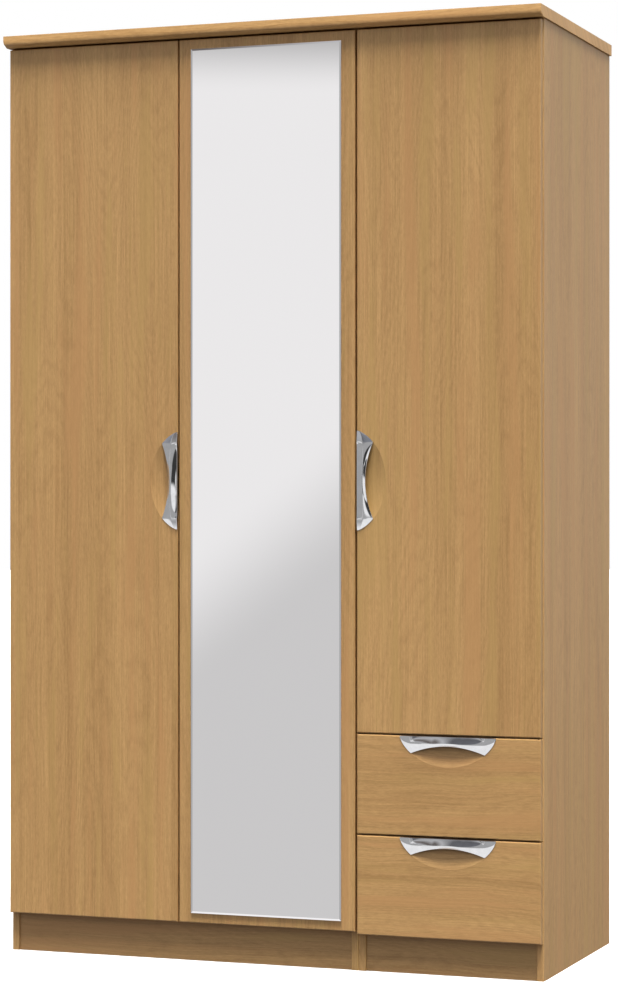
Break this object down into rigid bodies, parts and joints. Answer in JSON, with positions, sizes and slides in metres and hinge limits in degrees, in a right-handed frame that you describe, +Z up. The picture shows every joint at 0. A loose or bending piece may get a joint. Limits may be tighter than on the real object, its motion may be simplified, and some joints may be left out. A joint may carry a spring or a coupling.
{
  "type": "wardrobe with doors",
  "caption": "Free-standing oak-effect wardrobe: a pair of full doors, one with a mirror, beside a short door over drawers, with chrome edge pulls and a common top.",
  "frame": {"origin": "on the floor, under the middle of the wardrobe's bounding box", "axes": "+Z up, +Y towards the wall behind, -Y out of the doors, +X to the right as seen from the front"},
  "size_m": [1.11, 0.53, 1.825],
  "materials": {
    "oak_upright": "oak-effect laminate, grain running up, satin",
    "oak_level": "oak-effect laminate, grain running across, satin",
    "oak_inside": "pale oak-effect melamine, satin",
    "hardboard": "printed hardboard, matt",
    "mirror": "silvered float glass with a ground bevel",
    "pull_chrome": "polished chrome plate",
    "rail_chrome": "bright plated tube",
    "hinge_steel": "nickel-plated pressed steel",
    "runner_epoxy": "off-white epoxy coat"
  },
  "bodies": {
    "case": {"wardrobe_top": "oak_level", "double_left_side": "oak_upright", "double_right_side": "oak_upright", "double_base": "oak_inside", "double_plinth": "oak_level", "double_back": "hardboard", "double_shelf": "oak_inside", "double_rail": "rail_chrome", "single_left_side": "oak_upright", "single_right_side": "oak_upright", "single_base": "oak_inside", "single_plinth": "oak_level", "single_back": "hardboard", "single_shelf": "oak_inside", "single_rail": "rail_chrome", "single_divider": "oak_inside", "left_door_arm_1": "hinge_steel", "left_door_arm_2": "hinge_steel", "left_door_arm_3": "hinge_steel", "mirror_door_arm_1": "hinge_steel", "mirror_door_arm_2": "hinge_steel", "mirror_door_arm_3": "hinge_steel", "right_door_arm_1": "hinge_steel", "right_door_arm_2": "hinge_steel", "upper_drawer_left_track": "runner_epoxy", "upper_drawer_right_track": "runner_epoxy", "lower_drawer_left_track": "runner_epoxy", "lower_drawer_right_track": "runner_epoxy"},
    "left_door": {"left_door_panel": "oak_upright", "left_door_handle": "pull_chrome", "left_door_cup_1": "hinge_steel", "left_door_cup_2": "hinge_steel", "left_door_cup_3": "hinge_steel"},
    "mirror_door": {"mirror_door_panel": "oak_upright", "mirror_glass": "mirror", "mirror_door_cup_1": "hinge_steel", "mirror_door_cup_2": "hinge_steel", "mirror_door_cup_3": "hinge_steel"},
    "right_door": {"right_door_panel": "oak_upright", "right_door_handle": "pull_chrome", "right_door_cup_1": "hinge_steel", "right_door_cup_2": "hinge_steel"},
    "upper_drawer": {"upper_drawer_front": "oak_level", "upper_drawer_handle": "pull_chrome", "upper_drawer_left_side": "oak_inside", "upper_drawer_right_side": "oak_inside", "upper_drawer_back": "oak_inside", "upper_drawer_bottom": "hardboard", "upper_drawer_left_runner": "runner_epoxy", "upper_drawer_right_runner": "runner_epoxy"},
    "lower_drawer": {"lower_drawer_front": "oak_level", "lower_drawer_handle": "pull_chrome", "lower_drawer_left_side": "oak_inside", "lower_drawer_right_side": "oak_inside", "lower_drawer_back": "oak_inside", "lower_drawer_bottom": "hardboard", "lower_drawer_left_runner": "runner_epoxy", "lower_drawer_right_runner": "runner_epoxy"}
  },
  "joints": [
    {"name": "left_door_hinge", "type": "hinge", "parent": "case", "child": "left_door", "pos_m": [-0.54475, -0.2445, 0.938], "axis": [0, 0, -1], "range_deg": [0, 110]},
    {"name": "mirror_door_hinge", "type": "hinge", "parent": "case", "child": "mirror_door", "pos_m": [0.17725, -0.2445, 0.938], "axis": [0, 0, 1], "range_deg": [0, 90]},
    {"name": "right_door_hinge", "type": "hinge", "parent": "case", "child": "right_door", "pos_m": [0.54475, -0.2445, 1.128], "axis": [0, 0, 1], "range_deg": [0, 110]},
    {"name": "upper_drawer_slide", "type": "slide", "parent": "case", "child": "upper_drawer", "axis": [0, -1, 0], "range_m": [0, 0.33]},
    {"name": "lower_drawer_slide", "type": "slide", "parent": "case", "child": "lower_drawer", "axis": [0, -1, 0], "range_m": [0, 0.33]}
  ]
}
